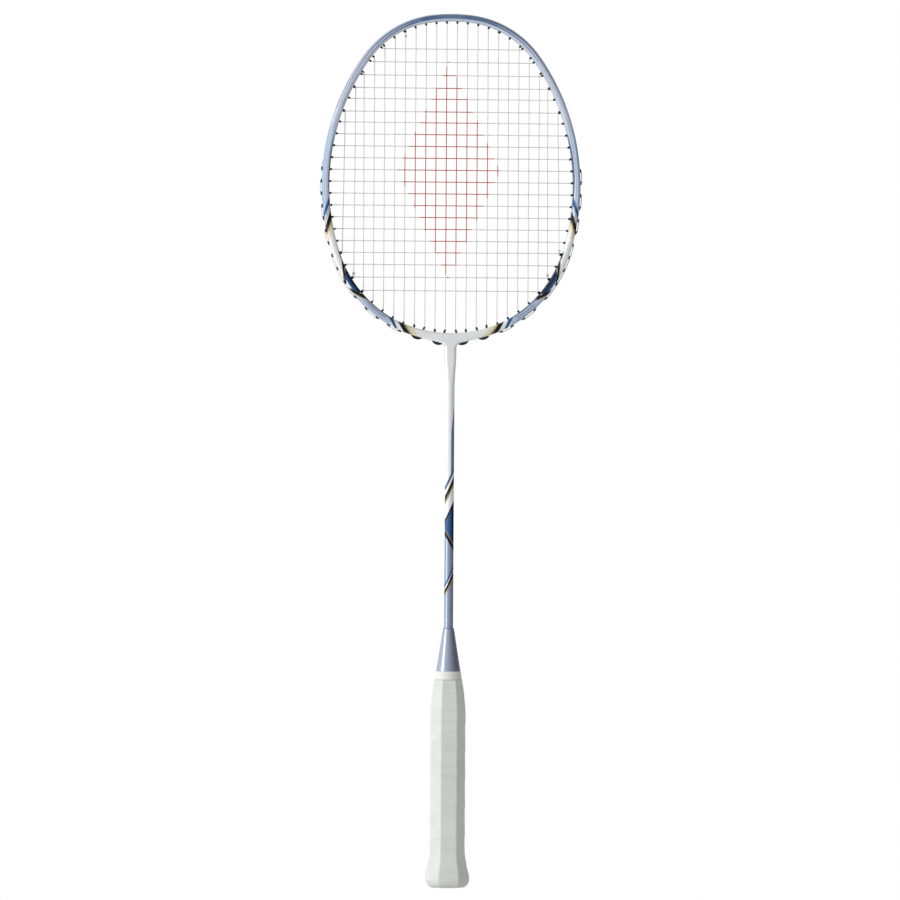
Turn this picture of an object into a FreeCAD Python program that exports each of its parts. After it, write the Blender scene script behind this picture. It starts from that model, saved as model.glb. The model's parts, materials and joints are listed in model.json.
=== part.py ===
import FreeCAD, Part
import os
from math import acos, asin, atan2, cos, degrees, hypot, pi, radians, sin, sqrt, tan

# Badminton racket. Millimetres. +Z runs up the shaft to the head, +X to the side,
# the front of the string bed faces -Y. The origin is the middle of the butt end.

os.makedirs("parts", exist_ok=True)
doc = FreeCAD.newDocument("racket")
V = FreeCAD.Vector

# ---------------------------------------------------------------- driving sizes
sheet = doc.addObject("Spreadsheet::Sheet", "sizes")
SIZES = {
    # head frame: tangent arcs of the tube's middle line
    "crown_height": 672.2,
    "crown_radius": 130.0,
    "shoulder_radius": 73.1,
    "flank_radius": 170.6,
    "head_half_width": 97.4,
    "widest_height": 542.3,
    "bowl_height": 424.75,
    "frame_depth": 10.5,
    "frame_thick": 5.6,
    "frame_round": 2.3,
    "cavity_depth": 8.5,
    "cavity_inner": 1.8,
    "cavity_outer": 0.4,
    "groove_width": 3.4,
    "groove_floor": 1.5,
    "groove_end_height": 562.7,
    "groove_runout_height": 553.5,
    # throat and stem
    "throat_top": 428.4,
    "throat_blend": 44.0,
    "throat_corner": 24.0,
    "throat_slope": 0.26,
    "stem_width": 9.0,
    "stem_fillet": 4.5,
    "stem_height": 410.0,
    "stem_end": 389.0,
    # shaft and the joint inside the throat
    "shaft_diameter": 7.0,
    "shaft_bore": 5.0,
    "shaft_foot": 95.0,
    "joint_foot": 376.0,
    "joint_reach": 32.0,
    "bore_clearance": 0.05,
    # cone cap
    "cone_foot": 167.1,
    "cone_top": 200.0,
    "cone_foot_diameter": 18.9,
    "cone_top_diameter": 8.4,
    # handle
    "handle_width": 26.5,
    "handle_depth": 23.5,
    "handle_corner": 7.05,
    "grip_skin": 1.2,
    "grip_foot": 1.0,
    "grip_head": 160.7,
    "core_foot": 3.0,
    "core_head": 166.8,
    "neck_diameter": 16.2,
    "band_foot": 160.8,
    "band_head": 167.0,
    "band_foot_diameter": 21.0,
    "band_head_diameter": 19.2,
    "badge_diameter": 19.0,
    "badge_thick": 0.5,
    # grommets
    "barrel_radius": 0.85,
    "barrel_bore": 0.46,
    "wide_barrel_radius": 1.15,
    "wide_barrel_bore": 0.88,
    "barrel_reach": 1.7,
    "flange_radius": 1.45,
    "wide_flange_radius": 1.5,
    "flange_groove_thick": 0.5,
    "flange_proud_thick": 1.0,
    "drill_clearance": 0.02,
    "throat_reach": 2.5,
    "strip_half_length": 4.5,
    "strip_rise": 2.1,
    "strip_half_width": 1.4,
    # strings
    "string_radius": 0.35,
    "weave_rise": 0.375,
    "main_pitch": 8.0,
    "cross_first": 647.8,
    "cross_wide_pitch": 10.2,
    "cross_pitch": 9.15,
    "side_shift": 0.8,
    "pair_shift": 0.37,
    "trio_near": 0.19,
    "trio_far": 0.44,
}
for row, (alias, value) in enumerate(SIZES.items(), 1):
    sheet.set(f"A{row}", alias)
    sheet.set(f"B{row}", str(value))
    sheet.setAlias(f"B{row}", alias)
doc.recompute()


def size(alias):
    return float(sheet.get(alias))


MAINS = 11
CROSSES = 21
STRIP_MIDDLES = (9.9, 26.0)
STRIP_EXITS = {1: 7.5, 2: 12.3, 3: 23.5, 4: 28.5}
TIE_MAIN = 5
TOP_SHARED = {10: 4, 11: 6}
BOTTOM_SHARED = {9: 21, 10: 20, 11: 18}
half = size("frame_thick") / 2

# ---------------------------------------------------------------- head outline
# The right half of the middle line is four arcs that meet on shared normals, so
# one angle, measured from +Z towards +X, gives the point and its outward normal.
crown_r = size("crown_radius")
shoulder_r = size("shoulder_radius")
flank_r = size("flank_radius")
half_w = size("head_half_width")
wide_z = size("widest_height")
bowl_z = size("bowl_height")
drop = wide_z - bowl_z
inset = flank_r - half_w
bowl_r = (flank_r**2 - inset**2 - drop**2) / (2 * (flank_r - drop))
crown_c = (0.0, size("crown_height") - crown_r)
flank_c = (-inset, wide_z)
bowl_c = (0.0, bowl_z + bowl_r)


def shoulder_centre():
    """Centre of the arc that touches both the crown and the flank from inside."""
    r1 = crown_r - shoulder_r
    r2 = flank_r - shoulder_r
    dx = flank_c[0] - crown_c[0]
    dz = flank_c[1] - crown_c[1]
    gap = hypot(dx, dz)
    along = (r1**2 - r2**2 + gap**2) / (2 * gap)
    off = sqrt(r1**2 - along**2)
    ux, uz = dx / gap, dz / gap
    mx, mz = crown_c[0] + along * ux, crown_c[1] + along * uz
    return max((mx - off * uz, mz + off * ux), (mx + off * uz, mz - off * ux))


shoulder_c = shoulder_centre()


def bearing(start, end):
    return atan2(end[0] - start[0], end[1] - start[1])


turn_1 = bearing(crown_c, shoulder_c)
turn_2 = bearing(flank_c, shoulder_c)
turn_3 = bearing(flank_c, bowl_c)
ARCS = (
    (crown_c, crown_r, 0.0, turn_1),
    (shoulder_c, shoulder_r, turn_1, turn_2),
    (flank_c, flank_r, turn_2, turn_3),
    (bowl_c, bowl_r, turn_3, pi),
)


def at(angle, offset):
    for centre, radius, low, high in ARCS:
        if angle <= high + 1e-9:
            reach = radius + offset
            return centre[0] + reach * sin(angle), centre[1] + reach * cos(angle)
    return at(pi, offset)


def bisect(test, low, high):
    """The angle where test changes from true to false."""
    for _ in range(60):
        middle = (low + high) / 2
        if test(middle):
            low = middle
        else:
            high = middle
    return (low + high) / 2


def angle_at_height(z, offset):
    return bisect(lambda a: at(a, offset)[1] > z, 0.0, pi)


def angle_at_width(x, offset, top):
    if top:
        return bisect(lambda a: at(a, offset)[0] < x, 0.0, pi / 2)
    return bisect(lambda a: at(a, offset)[0] > x, pi / 2, pi)


def arc_piece(centre, radius, low, high, side):
    """Arc between two bearings as sketch geometry, mirrored when side is -1."""
    start, end = pi / 2 - high, pi / 2 - low
    if side < 0:
        start, end = pi - end, pi - start
    circle = Part.Circle(V(side * centre[0], centre[1], 0), V(0, 0, 1), radius)
    return Part.ArcOfCircle(circle, start, end)


def arcs_between(offset, low, high, side):
    out = []
    for centre, radius, first, last in ARCS:
        a = max(first, low)
        b = min(last, high)
        if b - a > 1e-6:
            out.append(arc_piece(centre, radius + offset, a, b, side))
    return out


def ring(offset):
    return arcs_between(offset, 0.0, pi, 1) + arcs_between(offset, 0.0, pi, -1)


def flat_line(p, q):
    return Part.LineSegment(V(p[0], p[1], 0), V(q[0], q[1], 0))


def through(p, q, r):
    points = [V(x, z, 0) for x, z in (p, q, r)]
    return Part.Arc(*points)


# ---------------------------------------------------------------- throat
corner_x = size("throat_corner")
corner_angle = angle_at_width(corner_x, half, False)
corner = at(corner_angle, half)
slope = size("throat_slope")
stem_x = size("stem_width") / 2
blend_x = size("throat_blend")
blend_angle = angle_at_width(blend_x, -half, False)
blend = at(blend_angle, -half)
throat_rise = blend[1] - size("throat_top")
throat_r = (blend_x**2 + throat_rise**2) / (2 * throat_rise)


def throat_outer(x):
    return corner[1] - (corner_x - x) * slope


def throat_inner(x):
    return size("throat_top") + throat_r - sqrt(throat_r**2 - x**2)


def throat_edge(side):
    """Lower edge of the throat on one side: slope, hollow corner, stem side."""
    tilt = atan2(slope, 1.0)
    turn = pi / 2 - tilt
    run = size("stem_fillet") * tan(turn / 2)
    knee = (stem_x, throat_outer(stem_x))
    first = (knee[0] + run * cos(tilt), knee[1] + run * sin(tilt))
    last = (knee[0], knee[1] - run)
    cx = stem_x + size("stem_fillet")
    cz = last[1]
    mid_angle = pi - turn / 2
    middle = (
        cx + size("stem_fillet") * cos(mid_angle),
        cz + size("stem_fillet") * sin(mid_angle),
    )
    foot = (stem_x, size("stem_height"))
    mirror = [(side * x, z) for x, z in (corner, first, middle, last, foot)]
    return [
        flat_line(mirror[0], mirror[1]),
        through(mirror[1], mirror[2], mirror[3]),
        flat_line(mirror[3], mirror[4]),
    ]


def frame_outline():
    pieces = []
    for side in (1, -1):
        pieces += arcs_between(half, 0.0, corner_angle, side)
        pieces += throat_edge(side)
        pieces += arcs_between(-half, 0.0, blend_angle, side)
    foot = size("stem_height")
    pieces.append(flat_line((-stem_x, foot), (stem_x, foot)))
    pieces.append(through((-blend_x, blend[1]), (0, size("throat_top")), (blend_x, blend[1])))
    return pieces


def groove_outline():
    floor = size("groove_floor")
    past = half + 1.4
    end = angle_at_height(size("groove_end_height"), floor)
    runout = angle_at_height(size("groove_runout_height"), past)
    pieces = []
    for side in (1, -1):
        pieces += arcs_between(floor, 0.0, end, side)
        pieces += arcs_between(past, 0.0, runout, side)
        low, high = at(end, floor), at(runout, past)
        pieces.append(flat_line((side * low[0], low[1]), (side * high[0], high[1])))
    return pieces


# ---------------------------------------------------------------- body helpers
def new_body(name):
    body = doc.addObject("PartDesign::Body", name)
    body.Label = name
    return body


def origin_plane(body, role):
    for feature in body.Origin.OriginFeatures:
        if feature.Role == role:
            return feature
    raise RuntimeError(f"no plane {role}")


def sketch_on(body, role, name, pieces, lift=0.0):
    sketch = body.newObject("Sketcher::SketchObject", name)
    sketch.AttachmentSupport = (origin_plane(body, role), [""])
    sketch.MapMode = "FlatFace"
    sketch.AttachmentOffset = FreeCAD.Placement(V(0, 0, lift), FreeCAD.Rotation())
    for piece in pieces:
        sketch.addGeometry(piece, False)
    return sketch


def symmetric(body, kind, name, sketch, alias):
    feature = body.newObject(kind, name)
    feature.Profile = sketch
    feature.SideType = "Symmetric"
    feature.setExpression("Length", f"sizes.{alias}")
    return feature


def rounded_box(width, depth, radius):
    """Rounded rectangle centred on the sketch origin."""
    x, y = width / 2, depth / 2
    r = radius
    pieces = [
        flat_line((-x + r, y), (x - r, y)),
        flat_line((x, y - r), (x, -y + r)),
        flat_line((x - r, -y), (-x + r, -y)),
        flat_line((-x, -y + r), (-x, y - r)),
    ]
    for cx, cy, start in ((x - r, y - r, 0), (-x + r, y - r, 90), (-x + r, -y + r, 180), (x - r, -y + r, 270)):
        circle = Part.Circle(V(cx, cy, 0), V(0, 0, 1), r)
        pieces.append(Part.ArcOfCircle(circle, radians(start), radians(start + 90)))
    return pieces


def cylinder(name, radius, height, radius_offset=""):
    item = doc.addObject("Part::Cylinder", name)
    item.setExpression("Radius", f"{radius}{radius_offset}")
    item.setExpression("Height", height)
    return item


def boolean_cut(name, base, tool):
    item = doc.addObject("Part::Cut", name)
    item.Base = base
    item.Tool = tool
    item.Label = name
    return item


def boolean_fuse(name, shapes):
    item = doc.addObject("Part::MultiFuse", name)
    item.Shapes = shapes
    item.Label = name
    return item


def made(name, shape):
    """A shape placed by code, for patterns that follow the head outline."""
    item = doc.addObject("Part::Feature", name)
    item.Shape = shape
    item.Label = name
    return item


# ---------------------------------------------------------------- head frame
blank = new_body("head_blank")
outline = sketch_on(blank, "XZ_Plane", "head_outline", frame_outline())
tube = symmetric(blank, "PartDesign::Pad", "head_tube", outline, "frame_depth")
doc.recompute()

face_y = size("frame_depth") / 2
rim = []
for number, edge in enumerate(tube.Shape.Edges, 1):
    box = edge.BoundBox
    on_face = box.YLength < 1e-6 and abs(abs(box.YMin) - face_y) < 1e-6
    at_foot = box.ZMax < size("stem_height") + 1e-6
    if on_face and not at_foot:
        rim.append(f"Edge{number}")
rounding = blank.newObject("PartDesign::Fillet", "head_rounding")
rounding.Base = (tube, rim)
rounding.setExpression("Radius", "sizes.frame_round")
doc.recompute()

stem_top = sketch_on(
    blank,
    "XY_Plane",
    "stem_top_section",
    rounded_box(size("stem_width"), size("frame_depth"), size("frame_round")),
    size("stem_height"),
)
shaft_d = size("shaft_diameter")
stem_foot = sketch_on(
    blank,
    "XY_Plane",
    "stem_foot_section",
    rounded_box(shaft_d + 0.1, shaft_d + 0.1, shaft_d / 2 - 0.05),
    size("stem_end"),
)
stem = blank.newObject("PartDesign::AdditiveLoft", "stem")
stem.Profile = stem_top
stem.Sections = [stem_foot]
stem.Ruled = True
doc.recompute()

hollow = sketch_on(
    blank,
    "XZ_Plane",
    "hollow_outline",
    ring(size("cavity_outer")) + ring(-size("cavity_inner")),
)
hollow_cut = symmetric(blank, "PartDesign::Pocket", "hollow", hollow, "cavity_depth")
doc.recompute()
groove = sketch_on(blank, "XZ_Plane", "groove_outline", groove_outline())
groove_cut = symmetric(blank, "PartDesign::Pocket", "string_groove", groove, "groove_width")
doc.recompute()

# ---------------------------------------------------------------- string holes
WIDE_BEND = 0.35


class Hole:
    """One string hole: where the string bends inside, and the way out."""

    def __init__(self, side, kind, angle, mouth=None, way=None, base=None):
        self.side = side
        self.kind = kind
        self.angle = angle
        nx, nz = sin(angle), cos(angle)
        if mouth is None:
            mouth = at(angle, -half - size("barrel_reach"))
            way = (nx, nz)
            floor = at(angle, self.floor())
            base = floor
        self.mouth = V(side * mouth[0], 0, mouth[1])
        self.way = V(side * way[0], 0, way[1])
        self.base = V(side * base[0], 0, base[1])
        self.along = V(side * self.way.z, 0, -side * self.way.x)

    def floor(self):
        outside = at(self.angle, half)[1]
        grooved = outside > size("groove_end_height") - 2
        return size("groove_floor") if grooved else half

    def grooved(self):
        return self.floor() < half

    def inside(self, shift=0.0, drift=0.0):
        """Bend point just inside the mouth."""
        point = self.mouth - self.way * WIDE_BEND + self.along * drift
        return V(point.x, shift, point.z)

    def outside(self, shift=0.0, drift=0.0):
        """Bend point just outside the flange."""
        if self.kind == "strip":
            rise = 0.55 + size("string_radius") + 0.01
        elif self.grooved():
            rise = size("flange_groove_thick") + size("string_radius") + 0.01
        else:
            rise = size("flange_proud_thick") + size("string_radius") + 0.01
        point = self.base + self.way * rise + self.along * drift
        return V(point.x, shift, point.z)


def main_x(number):
    return (number - 0.5) * size("main_pitch")


def cross_z(number):
    z = size("cross_first")
    for gap in range(1, number):
        wide = gap <= 2 or gap >= CROSSES - 2
        z -= size("cross_wide_pitch") if wide else size("cross_pitch")
    return z


bend_offset = -half - size("barrel_reach") - WIDE_BEND


def shared_angle(number, cross):
    """The bearing whose bend point lies nearest the crossing of two strings."""
    x, z = main_x(number), cross_z(cross)
    best = None
    for step in range(1, 1800):
        angle = pi * step / 1800
        px, pz = at(angle, bend_offset)
        miss = hypot(px - x, pz - z)
        if best is None or miss < best[0]:
            best = (miss, angle)
    return best[1]


def strip_hole(side, number):
    x_in, x_out = main_x(number), STRIP_EXITS[number]
    mouth = (x_in, throat_inner(x_in) + size("throat_reach"))
    base = (x_out, throat_outer(x_out))
    run = hypot(base[0] - mouth[0], base[1] - mouth[1])
    way = ((base[0] - mouth[0]) / run, (base[1] - mouth[1]) / run)
    angle = pi - asin(x_out / bowl_r)
    return Hole(side, "strip", angle, mouth, way, base)


top_holes, low_holes, cross_holes = {}, {}, {}
for side in (1, -1):
    for number in range(1, MAINS + 1):
        x = main_x(number)
        if number in TOP_SHARED:
            angle = shared_angle(number, TOP_SHARED[number])
            top_holes[side, number] = Hole(side, "shared", angle)
            cross_holes[side, TOP_SHARED[number]] = top_holes[side, number]
        else:
            kind = "tie" if number == TIE_MAIN else "single"
            top_holes[side, number] = Hole(side, kind, angle_at_width(x, bend_offset, True))
        if number in BOTTOM_SHARED:
            angle = shared_angle(number, BOTTOM_SHARED[number])
            low_holes[side, number] = Hole(side, "shared", angle)
            cross_holes[side, BOTTOM_SHARED[number]] = low_holes[side, number]
        elif number in STRIP_EXITS:
            low_holes[side, number] = strip_hole(side, number)
        else:
            low_holes[side, number] = Hole(side, "single", angle_at_width(x, bend_offset, False))
    for number in range(1, CROSSES + 1):
        if (side, number) not in cross_holes:
            angle = angle_at_height(cross_z(number), bend_offset)
            cross_holes[side, number] = Hole(side, "single", angle)

all_holes = list(top_holes.values()) + list(low_holes.values())
all_holes += [hole for hole in cross_holes.values() if hole.kind == "single"]
WIDE_KINDS = ("shared", "tie")


def drill(hole):
    radius = size("wide_barrel_radius") if hole.kind in WIDE_KINDS else size("barrel_radius")
    radius += size("drill_clearance")
    start = hole.mouth
    length = (hole.base - hole.mouth).Length + 3.0
    return Part.makeCylinder(radius, length, start, hole.way)


drills = made("string_drills", Part.makeCompound([drill(hole) for hole in all_holes]))

joint_radius = "sizes.shaft_bore / 2 - sizes.bore_clearance"
pin_bore = cylinder("pin_bore", "sizes.shaft_bore / 2", "sizes.bowl_height - sizes.stem_end + 1")
pin_bore.setExpression("Placement.Base.z", "sizes.stem_end - 1")
doc.recompute()
bored = boolean_cut("head_bored", blank, pin_bore)
head_frame = boolean_cut("head_frame", bored, drills)

# ---------------------------------------------------------------- joint in the throat
bar = new_body("joint_bar")
gap = size("bore_clearance")
reach_angle = angle_at_width(size("joint_reach"), 0.0, False)
bar_pieces = []
for side in (1, -1):
    bar_pieces += arcs_between(size("cavity_outer") - gap, reach_angle, pi, side)
    bar_pieces += arcs_between(-size("cavity_inner") + gap, reach_angle, pi, side)
    near = at(reach_angle, size("cavity_outer") - gap)
    far = at(reach_angle, -size("cavity_inner") + gap)
    bar_pieces.append(flat_line((side * near[0], near[1]), (side * far[0], far[1])))
bar_sketch = sketch_on(bar, "XZ_Plane", "joint_outline", bar_pieces)
bar_pad = bar.newObject("PartDesign::Pad", "joint_pad")
bar_pad.Profile = bar_sketch
bar_pad.SideType = "Symmetric"
bar_pad.setExpression("Length", "sizes.cavity_depth - 2 * sizes.bore_clearance")
pin = cylinder("joint_pin", joint_radius, "sizes.bowl_height + 0.8 - sizes.joint_foot")
pin.setExpression("Placement.Base.z", "sizes.joint_foot")
doc.recompute()
joint_blank = boolean_fuse("joint_blank", [bar, pin])
t_joint = boolean_cut("t_joint", joint_blank, drills)

# ---------------------------------------------------------------- shaft and cone
shaft_rod = cylinder("shaft_rod", "sizes.shaft_diameter / 2", "sizes.stem_end - sizes.shaft_foot - 0.02")
shaft_rod.setExpression("Placement.Base.z", "sizes.shaft_foot")
shaft_core = cylinder("shaft_core", "sizes.shaft_bore / 2", "sizes.stem_end - sizes.shaft_foot + 2")
shaft_core.setExpression("Placement.Base.z", "sizes.shaft_foot - 1")
shaft = boolean_cut("shaft", shaft_rod, shaft_core)

cone_body = doc.addObject("Part::Cone", "cone_body")
cone_body.setExpression("Radius1", "sizes.cone_foot_diameter / 2")
cone_body.setExpression("Radius2", "sizes.cone_top_diameter / 2")
cone_body.setExpression("Height", "sizes.cone_top - sizes.cone_foot")
cone_body.setExpression("Placement.Base.z", "sizes.cone_foot")
cone_lip = doc.addObject("Part::Cone", "cone_lip")
cone_lip.setExpression("Radius1", "sizes.cone_top_diameter / 2")
cone_lip.setExpression("Radius2", "sizes.shaft_diameter / 2 + 0.15")
cone_lip.Height = 0.5
cone_lip.setExpression("Placement.Base.z", "sizes.cone_top")
cone_bore = cylinder("cone_bore", "sizes.shaft_diameter / 2 + 0.03", "sizes.cone_top - sizes.cone_foot + 4")
cone_bore.setExpression("Placement.Base.z", "sizes.cone_foot - 1")
cone_blank = boolean_fuse("cone_blank", [cone_body, cone_lip])
cone_cap = boolean_cut("cone_cap", cone_blank, cone_bore)

# ---------------------------------------------------------------- handle
# Width across the handle against height, from the butt to the taper at the top.
FLARE = (
    (0.0, 24.8),
    (1.0, 28.4),
    (2.5, 31.2),
    (4.5, 33.0),
    (7.0, 33.7),
    (10.0, 33.1),
    (14.0, 31.3),
    (18.0, 29.3),
    (22.0, 27.6),
    (26.0, 26.7),
    (30.0, 26.5),
    (137.0, 26.5),
    (145.0, 25.5),
    (153.0, 23.2),
    (162.0, 20.8),
)


def width_at(z):
    for (z0, w0), (z1, w1) in zip(FLARE, FLARE[1:]):
        if z <= z1:
            return w0 + (w1 - w0) * max(z - z0, 0.0) / (z1 - z0)
    return FLARE[-1][1]


def octagon(width):
    """Eight-sided handle section with its wide faces front and back."""
    scale = width / size("handle_width")
    x = width / 2
    y = size("handle_depth") / 2 * scale
    cut = size("handle_corner") * scale
    corners = [
        (x, y - cut),
        (x - cut, y),
        (cut - x, y),
        (-x, y - cut),
        (-x, cut - y),
        (cut - x, -y),
        (x - cut, -y),
        (x, cut - y),
    ]
    return [flat_line(p, q) for p, q in zip(corners, corners[1:] + corners[:1])]


def heights_between(low, high):
    inner = [z for z, _ in FLARE if low + 1e-6 < z < high - 1e-6]
    return [low] + inner + [high]


def loft_sections(body, tag, low, high, inset):
    sketches = []
    for index, z in enumerate(heights_between(low, high)):
        pieces = octagon(width_at(z) - 2 * inset)
        sketches.append(sketch_on(body, "XY_Plane", f"{tag}_{index}", pieces, z))
    return sketches


def add_loft(body, kind, name, sketches):
    feature = body.newObject(kind, name)
    feature.Profile = sketches[0]
    feature.Sections = sketches[1:]
    feature.Ruled = True
    return feature


skin = size("grip_skin")
core_body = new_body("core_body")
core_sections = loft_sections(core_body, "core", size("core_foot"), size("grip_head") - 0.5, skin + 0.02)
add_loft(core_body, "PartDesign::AdditiveLoft", "core_loft", core_sections)
neck = cylinder("core_neck", "sizes.neck_diameter / 2", "sizes.core_head - sizes.grip_head + 10")
neck.setExpression("Placement.Base.z", "sizes.grip_head - 10")
core_bore = cylinder("core_bore", "sizes.shaft_diameter / 2 + 0.03", "sizes.core_head - sizes.shaft_foot + 2")
core_bore.setExpression("Placement.Base.z", "sizes.shaft_foot - 0.02")
doc.recompute()
core_blank = boolean_fuse("core_blank", [core_body, neck])
handle_core = boolean_cut("handle_core", core_blank, core_bore)

cap_body = new_body("cap_body")
cap_low = loft_sections(cap_body, "cap_low", 0.0, size("grip_foot") - 0.02, 0.0)
add_loft(cap_body, "PartDesign::AdditiveLoft", "cap_flange", cap_low)
doc.recompute()
cap_plug = new_body("cap_plug")
cap_high = loft_sections(cap_plug, "cap_high", size("grip_foot") - 0.3, size("core_foot") - 0.02, skin + 0.02)
add_loft(cap_plug, "PartDesign::AdditiveLoft", "cap_plug_loft", cap_high)
badge_seat = cylinder("badge_seat", "sizes.badge_diameter / 2 + 0.05", "sizes.badge_thick + 1")
badge_seat.Placement = FreeCAD.Placement(V(0, 0, -1), FreeCAD.Rotation())
doc.recompute()
cap_blank = boolean_fuse("cap_blank", [cap_body, cap_plug])
butt_cap = boolean_cut("butt_cap", cap_blank, badge_seat)
butt_badge = cylinder("butt_badge", "sizes.badge_diameter / 2", "sizes.badge_thick")
butt_badge.Label = "butt_badge"

grip_body = new_body("grip_wrap")
grip_outer = loft_sections(grip_body, "skin", size("grip_foot"), size("grip_head"), 0.0)
add_loft(grip_body, "PartDesign::AdditiveLoft", "grip_outer", grip_outer)
doc.recompute()
grip_inner = loft_sections(grip_body, "lining", size("grip_foot") - 0.5, size("grip_head") + 0.5, skin)
add_loft(grip_body, "PartDesign::SubtractiveLoft", "grip_inner", grip_inner)

band_body = doc.addObject("Part::Cone", "band_body")
band_body.setExpression("Radius1", "sizes.band_foot_diameter / 2")
band_body.setExpression("Radius2", "sizes.band_head_diameter / 2")
band_body.setExpression("Height", "sizes.band_head - sizes.band_foot")
band_body.setExpression("Placement.Base.z", "sizes.band_foot")
band_bore = cylinder("band_bore", "sizes.neck_diameter / 2 + 0.02", "20")
band_bore.setExpression("Placement.Base.z", "sizes.band_foot - 5")
grip_band = boolean_cut("grip_band", band_body, band_bore)
doc.recompute()

# ---------------------------------------------------------------- grommets
def grommet_pattern(name, barrel, bore, flange, thick, floor):
    """A flanged tube along +Z with its inner mouth at the origin."""
    reach = f"sizes.barrel_reach + sizes.frame_thick / 2 + {floor}"
    tube_item = cylinder(f"{name}_barrel", f"sizes.{barrel}", reach)
    rim_item = cylinder(f"{name}_flange", f"sizes.{flange}", f"sizes.{thick}")
    rim_item.setExpression("Placement.Base.z", reach)
    bore_item = cylinder(f"{name}_bore", f"sizes.{bore}", f"{reach} + 5")
    bore_item.Placement = FreeCAD.Placement(V(0, 0, -1), FreeCAD.Rotation())
    whole = boolean_fuse(f"{name}_blank", [tube_item, rim_item])
    return boolean_cut(name, whole, bore_item)


SINGLE = ("barrel_radius", "barrel_bore", "flange_radius")
WIDE = ("wide_barrel_radius", "wide_barrel_bore", "wide_flange_radius")
IN_GROOVE = ("flange_groove_thick", "sizes.groove_floor")
PROUD = ("flange_proud_thick", "sizes.frame_thick / 2")
patterns = {
    (False, True): grommet_pattern("single_in_groove", *SINGLE, *IN_GROOVE),
    (False, False): grommet_pattern("single_proud", *SINGLE, *PROUD),
    (True, True): grommet_pattern("wide_in_groove", *WIDE, *IN_GROOVE),
    (True, False): grommet_pattern("wide_proud", *WIDE, *PROUD),
}
doc.recompute()


def grommet_at(hole):
    shape = patterns[hole.kind in WIDE_KINDS, hole.grooved()].Shape.copy()
    turn = FreeCAD.Rotation(V(0, 0, 1), hole.way)
    shape.Placement = FreeCAD.Placement(hole.mouth, turn).multiply(shape.Placement)
    return shape


def grommet_group(name, holes):
    return made(name, Part.makeCompound([grommet_at(hole) for hole in holes]))


def pick(table, kind, side=None):
    return [h for (s, _), h in sorted(table.items()) if h.kind == kind and side in (None, s)]


def strip_at(side, numbers, middle):
    """A lens-shaped pad under the throat with two string tubes and a channel."""
    tilt = atan2(slope, 1.0)
    centre = V(side * middle, 0, throat_outer(middle))
    along = V(side * cos(tilt), 0, sin(tilt))
    out = V(side * sin(tilt), 0, -cos(tilt))
    reach = size("strip_half_length")
    wide = V(0, size("strip_half_width"), 0)
    left, right = centre - along * reach, centre + along * reach
    crest = centre + out * size("strip_rise")
    edge = Part.Wire([Part.Arc(left, crest, right).toShape(), Part.makeLine(right, left)])
    edge.translate(-wide)
    pad = Part.Face(edge).extrude(wide * 2)
    holes = [low_holes[side, number] for number in numbers]
    for hole in holes:
        length = (hole.base - hole.mouth).Length + 0.3
        pad = pad.fuse(Part.makeCylinder(size("barrel_radius"), length, hole.mouth, hole.way))
    slot_from = holes[0].base - along * 0.7
    slot_to = holes[1].base + along * 0.7
    slot = Part.makeBox((slot_to - slot_from).Length, 1.0, 4.0)
    axes = FreeCAD.Matrix(along.x, 0, out.x, 0, 0, 1, 0, 0, along.z, 0, out.z, 0, 0, 0, 0, 1)
    slot = slot.transformGeometry(axes)
    slot.translate(slot_from + out * 0.5 + V(0, -0.5, 0))
    pad = pad.cut(slot)
    for hole in holes:
        start = hole.mouth - hole.way
        pad = pad.cut(Part.makeCylinder(size("barrel_bore"), 30, start, hole.way))
    return pad


def strips(name, numbers, middle):
    shapes = []
    for side in (1, -1):
        shapes += strip_at(side, numbers, middle).cut(head_frame.Shape).Solids
    return made(name, Part.makeCompound(shapes))


grommets = [
    grommet_group("grommets_top", pick(top_holes, "single")),
    grommet_group("grommets_tie", pick(top_holes, "tie")),
    grommet_group("grommets_bottom", pick(low_holes, "single")),
    grommet_group("grommets_left", pick(cross_holes, "single", -1)),
    grommet_group("grommets_right", pick(cross_holes, "single", 1)),
    grommet_group("grommets_shared_left", pick(cross_holes, "shared", -1)),
    grommet_group("grommets_shared_right", pick(cross_holes, "shared", 1)),
    strips("throat_strips_inner", (1, 2), STRIP_MIDDLES[0]),
    strips("throat_strips_outer", (3, 4), STRIP_MIDDLES[1]),
]

# ---------------------------------------------------------------- strings
WEAVE_BEND = 1.0
MOUTH_BEND = 0.8
LOOP_BEND = 0.65


def string_shape(path, radius):
    """Round string along straight runs joined by tangent arcs.

    path holds (point, bend radius) pairs."""
    points = [p for p, _ in path]
    edge = Part.makeCircle(radius, points[0], points[1] - points[0])
    faces = [Part.Face(Part.Wire(edge))]
    here = points[0]
    for index in range(1, len(points)):
        way = points[index] - points[index - 1]
        way.normalize()
        stop = points[index]
        turn = 0.0
        if index < len(points) - 1:
            onward = points[index + 1] - points[index]
            onward.normalize()
            turn = way.getAngle(onward)
            if turn > 0.004:
                room = min((points[index + 1] - points[index]).Length, (points[index] - here).Length)
                back = min(path[index][1] * tan(turn / 2), 0.48 * room)
                stop = points[index] - way * back
        run = stop - here
        faces.append(edge.extrude(run))
        edge = edge.copy()
        edge.translate(run)
        here = stop
        if turn > 0.004:
            axis = way.cross(onward)
            axis.normalize()
            centre = here + axis.cross(way) * (back / tan(turn / 2))
            faces.append(edge.revolve(centre, axis, degrees(turn)))
            edge = edge.copy()
            edge.rotate(centre, axis, degrees(turn))
            here = points[index] + onward * back
    faces.append(Part.Face(Part.Wire(edge)))
    flat = []
    for face in faces:
        flat += face.Faces
    shell = Part.makeShell(flat)
    shell.sewShape()
    solid = Part.Solid(shell.Shells[0] if shell.Shells else shell)
    if solid.Volume < 0:
        solid.reverse()
    return solid


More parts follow.
